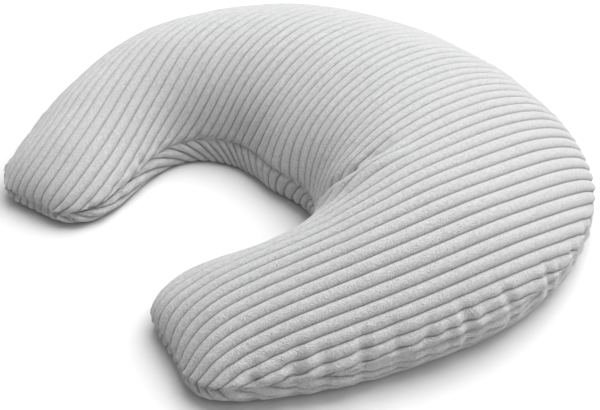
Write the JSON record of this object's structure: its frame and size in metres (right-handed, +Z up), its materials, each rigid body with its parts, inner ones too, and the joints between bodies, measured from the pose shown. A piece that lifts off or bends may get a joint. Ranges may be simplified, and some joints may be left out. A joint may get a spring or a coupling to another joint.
{
  "type": "nursing pillow",
  "caption": "C-shaped nursing pillow: a fibre-filled inner case in a zipped wide-rib plush cover, open at the front to go round the waist.",
  "frame": {"origin": "on the surface the pillow lies on, at the middle of its bounding box", "axes": "+X across the two arms, +Y to the closed crown with the mouth towards -Y, +Z up"},
  "size_m": [0.6199, 0.5601, 0.1291],
  "materials": {
    "cover_plush": "wide-rib plush pile, matt with a soft sheen",
    "overlock_thread": "overlocked polyester thread",
    "case_cotton": "plain woven cotton",
    "fibre_filling": "loose hollow polyester fibre",
    "zip_tape": "woven polyester tape",
    "zip_coil": "satin nylon monofilament",
    "zip_metal": "satin nickel plate",
    "label_satin": "woven satin, blank"
  },
  "bodies": {
    "pillow": {"cover_top_panel": "cover_plush", "cover_bottom_panel": "cover_plush", "cover_seam_overlock": "overlock_thread", "care_label": "label_satin", "zip_tape_upper": "zip_tape", "zip_tape_lower": "zip_tape", "zip_coil_upper": "zip_coil", "zip_coil_lower": "zip_coil", "zip_tape_stitching": "overlock_thread", "zip_top_stops": "zip_metal", "zip_bottom_stop": "zip_metal", "inner_case_top": "case_cotton", "inner_case_bottom": "case_cotton", "inner_case_seam_overlock": "overlock_thread", "filling": "fibre_filling"},
    "zip_slider": {"zip_slider_body": "zip_metal"},
    "zip_pull": {"zip_pull_tab": "zip_metal"}
  },
  "joints": [
    {"name": "zip_travel", "type": "hinge", "parent": "pillow", "child": "zip_slider", "pos_m": [0, -0.10762, 0.027], "axis": [0, 0, 1], "range_deg": [0, 36]},
    {"name": "pull_tab_swing", "type": "hinge", "parent": "zip_slider", "child": "zip_pull", "pos_m": [0.12321, 0.25851, 0.027], "axis": [0, 0, -1], "range_deg": [0, 150]}
  ]
}
